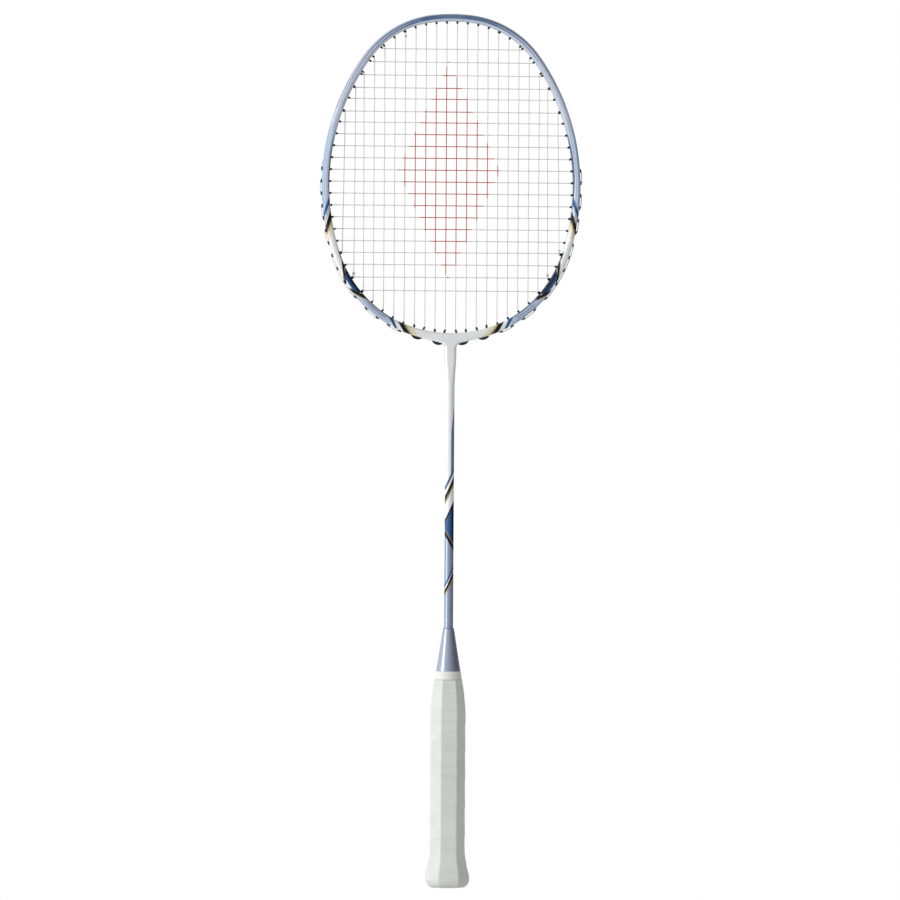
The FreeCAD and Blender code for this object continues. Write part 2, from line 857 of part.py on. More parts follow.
def drift_towards(hole, other, distance):
    """Signed distance along the frame, towards another hole."""
    step = other.base - hole.base
    return distance if step.dot(hole.along) > 0 else -distance


def place_of(hole, sort):
    """Where a string lies in its hole: front to back, and along the frame.

    Wide holes hold a pair side by side. Three of them also take a tied end, and
    there the strings that leave the same way lie side by side."""
    if hole.kind not in WIDE_KINDS:
        return 0.0, 0.0
    pair = -size("pair_shift") if sort == "main" else size("pair_shift")
    near, far = size("trio_near"), size("trio_far")
    if hole is low_holes[-1, 10]:
        return pair, drift_towards(hole, low_holes[-1, 9], near)
    if hole is low_holes[1, 10]:
        if sort == "main":
            return 0.0, drift_towards(hole, low_holes[1, 9], far)
        return pair, drift_towards(hole, low_holes[1, 11], near)
    if hole is low_holes[1, 11]:
        if sort == "cross":
            return 0.0, drift_towards(hole, cross_holes[1, 17], far)
        return pair, drift_towards(hole, low_holes[1, 10], near)
    return pair, 0.0


def bend_point(hole, sort):
    return hole.inside(*place_of(hole, sort))


main_lines, cross_lines = {}, {}
for side in (-1, 1):
    for number in range(1, MAINS + 1):
        order = (MAINS - number) if side < 0 else (MAINS + number - 1)
        low = bend_point(low_holes[side, number], "main")
        high = bend_point(top_holes[side, number], "main")
        main_lines[order] = (side, number, low, high)
for number in range(1, CROSSES + 1):
    left = bend_point(cross_holes[-1, number], "cross")
    right = bend_point(cross_holes[1, number], "cross")
    cross_lines[number] = (left, right)


def crossing(order, number):
    """Where a main and a cross meet, or nothing when they miss each other."""
    _, _, low, high = main_lines[order]
    left, right = cross_lines[number]
    ax, az = high.x - low.x, high.z - low.z
    bx, bz = right.x - left.x, right.z - left.z
    det = ax * bz - az * bx
    s = ((left.x - low.x) * bz - (left.z - low.z) * bx) / det
    t = ((left.x - low.x) * az - (left.z - low.z) * ax) / det
    clear_s = 1.1 / hypot(ax, az)
    clear_t = 1.1 / hypot(bx, bz)
    if not (clear_s < s < 1 - clear_s and clear_t < t < 1 - clear_t):
        return None
    return low.x + s * ax, low.z + s * az


def main_run(order, upward):
    """Woven run of one main between its bend points, bottom to top or back."""
    _, _, low, high = main_lines[order]
    points = [(low, MOUTH_BEND)]
    for number in range(CROSSES, 0, -1):
        spot = crossing(order, number)
        if spot:
            front = (order + number) % 2 == 0
            y = -size("weave_rise") if front else size("weave_rise")
            points.append((V(spot[0], y, spot[1]), WEAVE_BEND))
    points.append((high, MOUTH_BEND))
    return points if upward else points[::-1]


def cross_run(number, rightward):
    left, right = cross_lines[number]
    points = [(left, MOUTH_BEND)]
    for order in range(2 * MAINS):
        spot = crossing(order, number)
        if spot:
            front = (order + number) % 2 == 0
            y = size("weave_rise") if front else -size("weave_rise")
            points.append((V(spot[0], y, spot[1]), WEAVE_BEND))
    points.append((right, MOUTH_BEND))
    return points if rightward else points[::-1]


def passing(side, start, end):
    """Holes on one side that lie between two others along the frame."""
    low, high = sorted((start.angle, end.angle))
    found = [h for h in all_holes if h.side == side and low + 1e-6 < h.angle < high - 1e-6]
    return sorted(found, key=lambda h: h.angle, reverse=start.angle > end.angle)


def loop(start, end, sort, first=None, last=None, clear=None):
    """String lying outside the frame from one hole to another."""
    clear = size("side_shift") if clear is None else clear
    sign = -1 if sort == "main" else 1
    first = place_of(start, sort) if first is None else first
    last = place_of(end, sort) if last is None else last
    points = [(start.outside(*first), LOOP_BEND)]
    if start.side == end.side and start.kind != "strip":
        for hole in passing(start.side, start, end):
            points.append((hole.outside(sign * clear), LOOP_BEND))
    points.append((end.outside(*last), LOOP_BEND))
    return points


def tail_end(hole, shift, drift):
    inner = hole.mouth - hole.way * 1.2 + hole.along * drift
    return V(inner.x, shift, inner.z)


def main_path():
    path = []
    for side in (-1, 1):
        tie, last = low_holes[side, 10], low_holes[side, 11]
        if side < 0:
            place = (0.0, drift_towards(tie, last, size("trio_far")))
        else:
            place = (-size("pair_shift"), drift_towards(tie, last, size("trio_near")))
        tail = [(tail_end(tie, *place), 0.0)]
        tail += loop(tie, last, "main", place)
        half_path = []
        for number in range(MAINS, 0, -1):
            order = (MAINS - number) if side < 0 else (MAINS + number - 1)
            upward = number % 2 == 1
            half_path += main_run(order, upward)
            if number > 1:
                table = top_holes if upward else low_holes
                half_path += loop(table[side, number], table[side, number - 1], "main")
        whole = tail + half_path
        if side < 0:
            path = whole + loop(top_holes[-1, 1], top_holes[1, 1], "main")
        else:
            path += whole[::-1]
    return path


def cross_path():
    pair = size("pair_shift")
    tie = top_holes[-1, TIE_MAIN]
    path = [(tail_end(tie, pair, 0.0), 0.0)]
    path += loop(tie, cross_holes[-1, 1], "cross")
    for number in range(1, CROSSES + 1):
        rightward = number % 2 == 1
        path += cross_run(number, rightward)
        side = 1 if rightward else -1
        if number < CROSSES:
            path += loop(cross_holes[side, number], cross_holes[side, number + 1], "cross")
    end = cross_holes[1, 18]
    place = (pair, drift_towards(end, low_holes[1, 10], size("trio_near")))
    path += loop(cross_holes[1, CROSSES], end, "cross", None, place, 1.15)
    path.append((tail_end(end, *place), 0.0))
    return path


def knot(points):
    """Three turns of string around a run that starts at the first point."""
    start, ahead = points
    way = ahead - start
    way.normalize()
    turns = []
    for step in range(3):
        centre = start + way * (2.1 + 0.62 * step)
        turns.append(Part.makeTorus(0.74, size("string_radius"), centre, way))
    return turns[0].multiFuse(turns[1:])


def first_run(order, upward):
    points = main_run(order, upward)
    return points[0][0], points[1][0]


radius = size("string_radius")
main_string = made("main_string", string_shape(main_path(), radius))
cross_string = made("cross_string", string_shape(cross_path(), radius))
knots = [
    knot(first_run(1, True)),
    knot(first_run(20, True)),
    knot(first_run(21, True)),
    knot(first_run(MAINS - TIE_MAIN, False)),
]
string_knots = made("string_knots", Part.makeCompound(knots))
doc.recompute()

# ---------------------------------------------------------------- check and write
NODES = [
    head_frame,
    t_joint,
    shaft,
    cone_cap,
    handle_core,
    butt_cap,
    butt_badge,
    grip_body,
    grip_band,
    *grommets,
    main_string,
    cross_string,
    string_knots,
]
for item in doc.Objects:
    if "Invalid" in item.State or "Error" in item.State:
        raise RuntimeError(f"{item.Label} did not build")
for node in NODES:
    shape = node.Shape
    if shape.isNull() or not shape.isValid() or shape.Volume <= 0:
        raise RuntimeError(f"{node.Label} is not a sound solid")
    shape.exportStep(f"parts/{node.Label}.step")
    print(f"{node.Label}: {len(shape.Solids)} solid, {shape.Volume:.1f} mm3")
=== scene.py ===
import json
from math import atan2, cos, hypot, pi, radians, sin, sqrt

import bpy
from mathutils import Matrix, Vector

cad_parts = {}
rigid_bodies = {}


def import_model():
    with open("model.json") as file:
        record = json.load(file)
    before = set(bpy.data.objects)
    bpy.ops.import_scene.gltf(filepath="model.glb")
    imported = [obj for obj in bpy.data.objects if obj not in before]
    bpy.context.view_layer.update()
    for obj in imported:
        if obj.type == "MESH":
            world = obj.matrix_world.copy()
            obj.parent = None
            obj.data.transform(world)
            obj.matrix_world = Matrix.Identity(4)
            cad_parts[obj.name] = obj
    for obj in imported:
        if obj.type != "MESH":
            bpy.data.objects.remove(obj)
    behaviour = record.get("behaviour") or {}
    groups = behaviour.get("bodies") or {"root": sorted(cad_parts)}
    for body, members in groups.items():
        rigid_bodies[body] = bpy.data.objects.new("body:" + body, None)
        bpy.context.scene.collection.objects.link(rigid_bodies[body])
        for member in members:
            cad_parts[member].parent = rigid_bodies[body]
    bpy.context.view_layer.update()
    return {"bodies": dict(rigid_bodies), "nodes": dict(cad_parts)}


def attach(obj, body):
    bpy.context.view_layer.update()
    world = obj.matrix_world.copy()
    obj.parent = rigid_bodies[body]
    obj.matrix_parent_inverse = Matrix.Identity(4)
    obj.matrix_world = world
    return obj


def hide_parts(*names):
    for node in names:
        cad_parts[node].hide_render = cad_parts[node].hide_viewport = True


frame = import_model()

NODES = frame["nodes"]
MM = 0.001
MM_PER_METRE = 1000.0

# ------------------------------------------------------------ node arithmetic


class Field:
    """A number that varies over a surface, written with ordinary operators."""

    def __init__(self, tree, source):
        self.tree = tree
        self.source = source

    def _plug(self, node, index):
        if isinstance(self.source, (int, float)):
            node.inputs[index].default_value = self.source
        else:
            self.tree.links.new(self.source, node.inputs[index])

    def _wrap(self, other):
        return other if isinstance(other, Field) else Field(self.tree, float(other))

    def op(self, name, *others):
        node = self.tree.nodes.new("ShaderNodeMath")
        node.operation = name
        for index, item in enumerate((self, *map(self._wrap, others))):
            item._plug(node, index)
        return Field(self.tree, node.outputs[0])

    def __add__(self, other):
        return self.op("ADD", other)

    __radd__ = __add__

    def __sub__(self, other):
        return self.op("SUBTRACT", other)

    def __rsub__(self, other):
        return self._wrap(other).op("SUBTRACT", self)

    def __mul__(self, other):
        return self.op("MULTIPLY", other)

    __rmul__ = __mul__

    def __truediv__(self, other):
        return self.op("DIVIDE", other)

    def __neg__(self):
        return self * -1.0

    def __abs__(self):
        return self.op("ABSOLUTE")

    def above(self, edge, soft=0.08):
        """1 where this is over edge, 0 below it, with a soft step soft wide."""
        return ((self - edge) / soft + 0.5).op("MINIMUM", 1.0).op("MAXIMUM", 0.0)

    def below(self, edge, soft=0.08):
        return 1.0 - self.above(edge, soft)

    def between(self, low, high, soft=0.08):
        return self.above(low, soft) * self.below(high, soft)


class Paint:
    """A material tree with helpers for coordinates, colour layers and relief."""

    def __init__(self, name, **shader):
        self.material = bpy.data.materials.new(name)
        self.material.use_nodes = True
        self.tree = self.material.node_tree
        self.shader = self.tree.nodes["Principled BSDF"]
        for socket, value in shader.items():
            self.shader.inputs[socket.replace("_", " ")].default_value = value
        coords = self.tree.nodes.new("ShaderNodeTexCoord")
        self.place = coords.outputs["Object"]
        split = self.tree.nodes.new("ShaderNodeSeparateXYZ")
        self.tree.links.new(self.place, split.inputs[0])
        self.x = Field(self.tree, split.outputs[0]) * MM_PER_METRE
        self.y = Field(self.tree, split.outputs[1]) * MM_PER_METRE
        self.z = Field(self.tree, split.outputs[2]) * MM_PER_METRE

    def layer(self, base, top, mask):
        """top over base where mask is 1. Colours are sockets or triples."""
        node = self.tree.nodes.new("ShaderNodeMix")
        node.data_type = "RGBA"
        for index, item in ((6, base), (7, top)):
            if isinstance(item, tuple):
                node.inputs[index].default_value = (*item, 1.0)
            else:
                self.tree.links.new(item, node.inputs[index])
        mask._plug(node, 0)
        return node.outputs[2]

    def _texture(self, kind, scale, stretch):
        """A texture node on object coordinates, scaled apart along each axis."""
        mapping = self.tree.nodes.new("ShaderNodeMapping")
        mapping.inputs["Scale"].default_value = stretch
        self.tree.links.new(self.place, mapping.inputs[0])
        node = self.tree.nodes.new(kind)
        node.inputs["Scale"].default_value = scale
        self.tree.links.new(mapping.outputs[0], node.inputs["Vector"])
        return node

    def noise(self, scale, detail=2.0, stretch=(1, 1, 1)):
        node = self._texture("ShaderNodeTexNoise", scale, stretch)
        node.inputs["Detail"].default_value = detail
        return Field(self.tree, node.outputs[0])

    def cells(self, scale):
        """Distance to the nearest cell centre."""
        node = self._texture("ShaderNodeTexVoronoi", scale, (1, 1, 1))
        return Field(self.tree, node.outputs["Distance"])

    def number(self, socket, field):
        field._plug(self.shader, self.shader.inputs.find(socket))

    def base(self, socket):
        self.tree.links.new(socket, self.shader.inputs["Base Color"])

    def relief(self, field, height_mm):
        """Bump of that height in millimetres where the field goes from 0 to 1."""
        node = self.tree.nodes.new("ShaderNodeBump")
        node.inputs["Distance"].default_value = height_mm * MM
        node.inputs["Strength"].default_value = 1.0
        field._plug(node, node.inputs.find("Height"))
        self.tree.links.new(node.outputs[0], self.shader.inputs["Normal"])


def srgb(text):
    """Linear colour from a six-digit display colour."""
    out = []
    for index in (0, 2, 4):
        v = int(text[index : index + 2], 16) / 255
        out.append(v / 12.92 if v <= 0.04045 else ((v + 0.055) / 1.055) ** 2.4)
    return tuple(out)


def wear(node, paint):
    node.data.materials.clear()
    node.data.materials.append(paint.material)


# ------------------------------------------------------------ head outline
# The head's middle line in millimetres: four arcs a side, tangent to each other.
CROWN_R, SHOULDER_R, FLANK_R = 130.0, 73.1, 170.6
HALF_W, WIDE_Z, BOWL_Z, CROWN_Z = 97.4, 542.3, 424.75, 672.2


def bearing(start, end):
    """Angle of the line from start to end, from +Z towards +X."""
    return atan2(end[0] - start[0], end[1] - start[1])


def outline_arcs():
    """Centre and radius of each arc, and the bearing where each one starts."""
    drop = WIDE_Z - BOWL_Z
    inset = FLANK_R - HALF_W
    bowl_r = (FLANK_R**2 - inset**2 - drop**2) / (2 * (FLANK_R - drop))
    crown = (0.0, CROWN_Z - CROWN_R)
    flank = (-inset, WIDE_Z)
    bowl = (0.0, BOWL_Z + bowl_r)
    # the shoulder's centre lies where two circles about the other centres cross
    r1, r2 = CROWN_R - SHOULDER_R, FLANK_R - SHOULDER_R
    dx, dz = flank[0] - crown[0], flank[1] - crown[1]
    gap = hypot(dx, dz)
    along = (r1**2 - r2**2 + gap**2) / (2 * gap)
    off = sqrt(r1**2 - along**2)
    foot = (crown[0] + along * dx / gap, crown[1] + along * dz / gap)
    one = (foot[0] - off * dz / gap, foot[1] + off * dx / gap)
    two = (foot[0] + off * dz / gap, foot[1] - off * dx / gap)
    shoulder = max(one, two)
    turns = (0.0, bearing(crown, shoulder), bearing(flank, shoulder), bearing(flank, bowl))
    return ((crown, CROWN_R), (shoulder, SHOULDER_R), (flank, FLANK_R), (bowl, bowl_r)), turns


ARCS, TURNS = outline_arcs()
JOIN_SOFT = 0.002  # radians over which one arc's numbers give way to the next one's


def frame_fields(paint):
    """Length along the head from its top, and distance outside its middle line."""
    ax = abs(paint.x)
    along, out, bearings = [], [], []
    start = 0.0
    for index, ((cx, cz), radius) in enumerate(ARCS):
        dx, dz = ax - cx, paint.z - cz
        angle = dx.op("ARCTAN2", dz)
        bearings.append(angle)
        along.append((angle - TURNS[index]) * radius + start)
        out.append((dx * dx + dz * dz).op("SQRT") - radius)
        if index < len(ARCS) - 1:
            start += radius * (TURNS[index + 1] - TURNS[index])
    # the flank's own bearing decides both of its ends
    tests = [bearings[arc].above(TURNS[turn], JOIN_SOFT) for arc, turn in ((0, 1), (2, 2), (2, 3))]
    s, off = along[0], out[0]
    for test, next_s, next_off in zip(tests, along[1:], out[1:]):
        s = s + test * (next_s - s)
        off = off + test * (next_off - off)
    return s, off


# ------------------------------------------------------------ paint colours
WHITE = srgb("f7f8f9")
SILVER = srgb("bcc9de")
STEEL = srgb("9fadc6")
LILAC = srgb("cdd8ea")
SLATE = srgb("6f84a4")
DEEP_SLATE = srgb("456292")
SKY = srgb("9dbbdc")
SKY_HIGHLIGHT = srgb("dbe8f4")
SHADOW_BLUE = srgb("465d80")
MIDBLUE = srgb("245c93")
CREAM = srgb("ebe2c8")
NAVY = srgb("101d3c")
BLACK = srgb("060508")
GOLD = srgb("a8925f")
GREY = srgb("8b96ab")
STENCIL = srgb("c84434")


MOTTLE_SCALE, FLAKE_SCALE, GLOSS_SCALE, PEEL_SCALE = 70.0, 2700.0, 160.0, 700.0
FLAKE_SHADOW = (0.02, 0.03, 0.06)
PEEL_HEIGHT = 0.005


def lacquer(paint, base):
    """Fine flake and slow mottle in the colour, uneven gloss, faint orange-peel relief."""
    mottle = paint.noise(MOTTLE_SCALE, 3.0)
    fleck = paint.noise(FLAKE_SCALE, 1.0)
    shade = mottle.above(0.62, 0.5) * 0.05 + fleck.above(0.6, 0.3) * 0.04
    paint.base(paint.layer(base, FLAKE_SHADOW, shade))
    paint.number("Roughness", paint.noise(GLOSS_SCALE, 3.0) * 0.16 + 0.20)
    paint.relief(paint.noise(PEEL_SCALE, 2.0), PEEL_HEIGHT)


# Edges of painted fields run slantwise: (length at the inner edge, at the outer),
# read at this distance inside and outside the middle line.
EDGE = 2.5


def slant(s, off, inner, outer, soft=0.5):
    """1 past the line that joins inner at off -EDGE to outer at off +EDGE."""
    slope = (outer - inner) / (2 * EDGE)
    return (s - off * slope).above((inner + outer) / 2, soft)


def field(s, off, start, end, soft=0.5):
    """1 between two slanted edges."""
    return slant(s, off, *start, soft) * (1.0 - slant(s, off, *end, soft))


# Head: s runs from the top down either side, off from -2.8 inside to +2.8 outside.
RING_REACH = 3.3
SHOULDER_END = 122.0
DARK_BANDS = (((201.5, 212.0), (208.5, 217.5)), ((309.0, 316.0), (314.5, 321.5)))
CREAM_RUN = 7.0
GOLD_RUN = (1.6, 1.8)
GLOSS = {"Coat_Weight": 0.15, "Coat_Roughness": 0.07, "Specular_IOR_Level": 0.25}

head = Paint("head_lacquer", Metallic=0.12, **GLOSS)
s, off = frame_fields(head)
on_ring = off.below(RING_REACH, 0.4)
tone = head.layer(SILVER, SKY, s.between(136.0, 199.0, 8.0) * off.above(-1.4, 1.4))
tone = head.layer(tone, WHITE, slant(s, off, 201.0, 211.0))
# shoulder band, slate with a light streak, narrowing to a pin line
streak = head.noise(260.0, 2.0, (0.25, 1.0, 0.25))
slate = head.layer(DEEP_SLATE, SLATE, streak.above(0.5, 0.3))
outer_reach = (1.0 - s / 125.0).op("MAXIMUM", 0.0) * 0.95
inner_reach = (1.0 - s / 82.0).op("MAXIMUM", 0.0) * 0.85 + 0.12
tone = head.layer(tone, LILAC, s.below(135.0, 20.0) * off.below(2.2, 0.6))
outer_line = (abs(off - 1.2) - outer_reach).below(0.0, 0.4) * s.below(SHOULDER_END, 3.0)
tone = head.layer(tone, slate, outer_line)
inner_line = (abs(off + s * 0.012) - inner_reach).below(0.0, 0.4) * s.below(79.0, 2.0)
tone = head.layer(tone, slate, inner_line)
tone = head.layer(tone, LILAC, off.below(-1.4, 0.6) * s.below(74.0, 6.0))
# painted shade: a grey band along the outer edge of the shoulders, where the tube turns away
tone = head.layer(tone, GREY, off.above(2.35, 0.3) * s.below(SHOULDER_END, 4.0))
# flank: painted highlights down the middle and near the inner edge, painted shade in a dark lens
# on the inner edge
lens = (1.0 - (s - 168.0) * (s - 168.0) / 900.0).op("MAXIMUM", 0.0)
# painted highlight: a pale streak down the middle of the tube
tone = head.layer(tone, SKY_HIGHLIGHT, abs(off - 0.2).below(0.8, 1.0) * s.between(138.0, 196.0, 8.0))
# painted highlight: a white line near the inner edge, where the inner wall catches the light
inner_highlight = abs(off + 1.5).below(0.35, 0.5) * s.between(160.0, 200.0, 12.0) * 0.8
tone = head.layer(tone, WHITE, inner_highlight)
# painted shade: a dark lens on the inner edge, where the inner wall is in shade
inner_edge_shade = (off + 2.8 - lens * 1.1).below(0.0, 0.4)
tone = head.layer(tone, SHADOW_BLUE, inner_edge_shade * s.between(140.0, 198.0, 3.0))
tone = head.layer(tone, MIDBLUE, field(s, off, (190.0, 202.0), (196.0, 206.0)))
# two dark slanted bands, each with a gold rim that fades into cream
for start, end in DARK_BANDS:
    cream_end = (end[0] + CREAM_RUN, end[1] + CREAM_RUN)
    tone = head.layer(tone, CREAM, field(s, off, end, cream_end, 3.0))
    tone = head.layer(tone, BLACK, field(s, off, start, end))
    gold_end = (end[0] + GOLD_RUN[0], end[1] + GOLD_RUN[1])
    tone = head.layer(tone, GOLD, field(s, off, end, gold_end, 1.4))
# lower flank: blue panel between black edges, then silver with pin lines
tone = head.layer(tone, BLACK, field(s, off, (241.5, 254.0), (246.5, 259.0)))
tone = head.layer(tone, BLACK, off.below(-2.0, 0.4) * s.between(234.0, 248.0, 2.0))
tone = head.layer(tone, GOLD, field(s, off, (239.8, 254.6), (241.2, 255.8)))
panel = field(s, off, (248.0, 257.0), (272.0, 268.0)) * off.below(1.6, 0.3)
deep = head.layer(NAVY, MIDBLUE, off.above(-0.1, 1.7))
tone = head.layer(tone, deep, panel)
tone = head.layer(tone, SILVER, field(s, off, (279.0, 268.0), (301.0, 306.0)))
tone = head.layer(tone, BLACK, field(s, off, (274.0, 263.5), (281.0, 268.0)))
tone = head.layer(tone, BLACK, off.below(-2.0, 0.4) * s.between(270.0, 284.0, 2.0))
tone = head.layer(tone, GOLD, field(s, off, (280.0, 268.0), (281.4, 269.4)))
pin_line = abs(off + 0.4).below(0.3, 0.2) + abs(off - 1.5).below(0.16, 0.2)
tone = head.layer(tone, DEEP_SLATE, pin_line * s.between(281.0, 299.0, 3.0) * 0.8)
tone = head.layer(tone, SLATE, off.below(-1.7, 0.4) * s.between(277.0, 300.0, 2.0))
tone = head.layer(tone, MIDBLUE, field(s, off, (300.0, 308.0), (305.0, 311.0)))
# throat and stem, outside the ring, are plain white
tone = head.layer(WHITE, tone, on_ring)
lacquer(head, tone)
wear(NODES["head_frame"], head)

# Shaft: fields cut along slanted lines that climb or fall to the right. Each climbing
# stripe is (height of its lower edge on the axis, of its upper edge, colour).
STEEL_TOP = 267.0
STEEL_METAL = 0.6
STRIPES = (
    (314.0, 317.6, MIDBLUE),
    (305.6, 310.4, BLACK),
    (303.4, 305.6, GOLD),
    (289.2, 292.0, BLACK),
    (238.6, 241.6, MIDBLUE),
    (233.6, 237.2, BLACK),
    (231.6, 233.6, GOLD),
)
shaft = Paint("shaft_lacquer", **GLOSS)
climb = shaft.z - shaft.x * 2.2
fall = shaft.z + shaft.x * 1.75
steel = fall.below(STEEL_TOP, 0.6)
tone = shaft.layer(WHITE, STEEL, steel)
taper = ((374.0 - shaft.z) / 22.0).op("MAXIMUM", 0.0).op("MINIMUM", 1.0)
edge_stripe = (shaft.x - 3.3 + taper * 2.3).above(0.0, 0.3) * climb.above(316.0, 0.6)
tone = shaft.layer(tone, SLATE, edge_stripe)
# painted light and shade across the round shaft: navy down the right side, shadow blue along the
# left edge
panel = shaft.layer(MIDBLUE, NAVY, shaft.x.above(1.3, 1.6))
panel = shaft.layer(panel, SHADOW_BLUE, shaft.x.below(-2.4, 0.8))
tone = shaft.layer(tone, panel, climb.below(291.0, 0.5) * fall.above(270.5, 0.5))
for low, high, colour in STRIPES:
    tone = shaft.layer(tone, colour, climb.between(low, high, 0.5))
tone = shaft.layer(tone, WHITE, climb.between(237.2, 238.6, 0.4))
tone = shaft.layer(tone, BLACK, fall.between(265.6, 270.0, 0.5))
tone = shaft.layer(tone, GOLD, fall.between(270.0, 270.8, 0.4))
shaft.number("Metallic", steel * STEEL_METAL)
lacquer(shaft, tone)
wear(NODES["shaft"], shaft)

CONE_TOP = 199.6
cone = Paint("cone_lacquer", Coat_Weight=0.3, Coat_Roughness=0.12, Metallic=0.75)
lip = cone.z.above(CONE_TOP, 0.3)
lacquer(cone, cone.layer(srgb("aab5ca"), GREY, lip))
wear(NODES["cone_cap"], cone)


# ------------------------------------------------------------ hidden and moulded parts
wood = Paint("handle_wood", Roughness=0.6)
grain = wood.noise(90.0, 4.0, (1.0, 1.0, 0.06))
wood.base(wood.layer(srgb("c49c66"), srgb("96703f"), grain.above(0.5, 0.35)))
wood.relief(grain, 0.05)
wear(NODES["handle_core"], wood)

alloy = Paint("joint_alloy", Metallic=0.9)
brushed = alloy.noise(400.0, 3.0, (1.0, 1.0, 0.05))
alloy.base(alloy.layer(srgb("9a9ca2"), srgb("7c7e84"), brushed))
alloy.number("Roughness", brushed * 0.2 + 0.3)
alloy.relief(brushed, 0.01)
wear(NODES["t_joint"], alloy)

moulded = Paint("butt_cap_plastic", Specular_IOR_Level=0.4)
cast = moulded.noise(900.0, 3.0)
moulded.base(moulded.layer(srgb("dcdcd6"), srgb("cbcbc4"), cast.above(0.5, 0.4)))
moulded.number("Roughness", cast * 0.2 + 0.45)
moulded.relief(cast, 0.03)
wear(NODES["butt_cap"], moulded)

disc = Paint("butt_badge_film", Coat_Weight=0.4)
film = disc.noise(300.0, 3.0)
disc.base(disc.layer(SILVER, SLATE, film.above(0.6, 0.4) * 0.4))
disc.number("Roughness", film * 0.2 + 0.25)
disc.relief(film, 0.01)
wear(NODES["butt_badge"], disc)

nylon = Paint("grommet_nylon", Specular_IOR_Level=0.35)
mould = nylon.noise(1500.0, 2.0)
nylon.base(nylon.layer(srgb("141418"), srgb("26262b"), mould.above(0.55, 0.3)))
nylon.number("Roughness", mould * 0.2 + 0.35)
nylon.relief(mould, 0.02)
for name in NODES:
    if name.startswith(("grommets", "throat_strips")):
        wear(NODES[name], nylon)

# ------------------------------------------------------------ strings
# a plain red diamond on the string bed: its middle and half sizes in millimetres
DIAMOND_X, DIAMOND_Z = -2.0, 554.0
DIAMOND_WIDE, DIAMOND_TALL = 40.0, 85.0
string = Paint("string_nylon", Specular_IOR_Level=0.4, Coat_Weight=0.2)
inside = abs(string.x - DIAMOND_X) / DIAMOND_WIDE + abs(string.z - DIAMOND_Z) / DIAMOND_TALL
braid = string.noise(2200.0, 2.0)
bare = string.layer(srgb("ebe9e9"), srgb("dddbdb"), braid.above(0.5, 0.3))
ink = string.layer(STENCIL, srgb("a93b2c"), braid.above(0.6, 0.3))
string.base(string.layer(bare, ink, inside.below(1.0, 0.012)))
string.number("Roughness", braid * 0.2 + 0.28)
string.relief(braid, 0.02)
for name in ("main_string", "cross_string", "string_knots"):
    wear(NODES[name], string)

# ------------------------------------------------------------ grip
# Height and width across the handle, in millimetres.
FLARE = (
    (0.0, 24.8), (1.0, 28.4), (2.5, 31.2), (4.5, 33.0), (7.0, 33.7), (10.0, 33.1), (14.0, 31.3),
    (18.0, 29.3), (22.0, 27.6), (26.0, 26.7), (30.0, 26.5), (137.0, 26.5), (145.0, 25.5),
    (153.0, 23.2), (162.0, 20.8),
)
HANDLE_WIDTH, HANDLE_DEPTH, HANDLE_CORNER = 26.5, 23.5, 7.05
SKIN = 1.2
GRIP_FOOT, GRIP_HEAD = 1.0, 160.7
LINING_HEIGHTS = (GRIP_HEAD, 145.0, 137.0, 30.0, 18.0, 10.0, 5.0, GRIP_FOOT)
LINING_ROOM = 0.3  # keeps the lining half of this off the core
PITCH = 21.6  # height gained by the tape in one turn
SEAM_STEP = 0.36
SEAM_RISE, SEAM_FALL = 0.10, 1.15  # share of a turn to climb the seam, and rate of sinking after
CREASE_HEIGHT, CREASE_TOP = 0.05, 16.0  # small folds over the flared butt
SINK = 0.15  # sets the tape back, so that only its seams stand proud of the solid
CORNER_ROUND = 4.4


def width_at(z):
    for (z0, w0), (z1, w1) in zip(FLARE, FLARE[1:]):
        if z <= z1:
            return w0 + (w1 - w0) * max(z - z0, 0.0) / (z1 - z0)
    return FLARE[-1][1]


def past_octagon(x, y, margin):
    """How far a point is outside the handle section shrunk by margin, negative inside."""
    ax, ay = abs(x), abs(y)
    half, deep = HANDLE_WIDTH / 2 - margin, HANDLE_DEPTH / 2 - margin
    slope_room = (HANDLE_WIDTH + HANDLE_DEPTH) / 2 - HANDLE_CORNER - margin * sqrt(2)
    return max(ax - half, ay - deep, (ax + ay - slope_room) / sqrt(2))


def section_radius(turn):
    """Distance from the axis to the wrapped skin in one direction."""
    x, y = sin(turn), -cos(turn)
    low, high = 0.0, HANDLE_WIDTH
    for _ in range(40):
        r = (low + high) / 2
        if past_octagon(r * x, r * y, CORNER_ROUND) < CORNER_ROUND:
            low = r
        else:
            high = r
    return low


AROUND, RISE = 128, 0.45  # points in a ring, height between rings
TURNS_ROUND = [2 * pi * k / AROUND for k in range(AROUND)]
SECTION = [section_radius(t) for t in TURNS_ROUND]


def tape_lift(turn, z):
    """Height of the overlapped tape over the section, in millimetres."""
    phase = ((z + PITCH * turn / (2 * pi)) / PITCH) % 1.0
    step = min(phase / SEAM_RISE, 1.0)
    rest = max(0.0, 1.0 - phase * SEAM_FALL)
    crease = CREASE_HEIGHT * sin(z * 2.6 + 3 * sin(turn)) * max(0.0, 1.0 - z / CREASE_TOP)
    return SEAM_STEP * (step * rest - 0.25) + crease


def tape_ring(z, lining=False):
    """One ring of points at height z, on the tape's outside or its lining."""
    scale = width_at(z) / HANDLE_WIDTH
    ring = []
    for turn, radius in zip(TURNS_ROUND, SECTION):
        if lining:
            r = radius * (width_at(z) - 2 * SKIN + LINING_ROOM) / HANDLE_WIDTH
        else:
            fade = min(1.0, (z - GRIP_FOOT) / 2.0, (GRIP_HEAD - z) / 1.5)
            r = radius * scale - SINK + tape_lift(turn, z) * max(fade, 0.0)
        ring.append((r * sin(turn) * MM, -r * cos(turn) * MM, z * MM))
    return ring


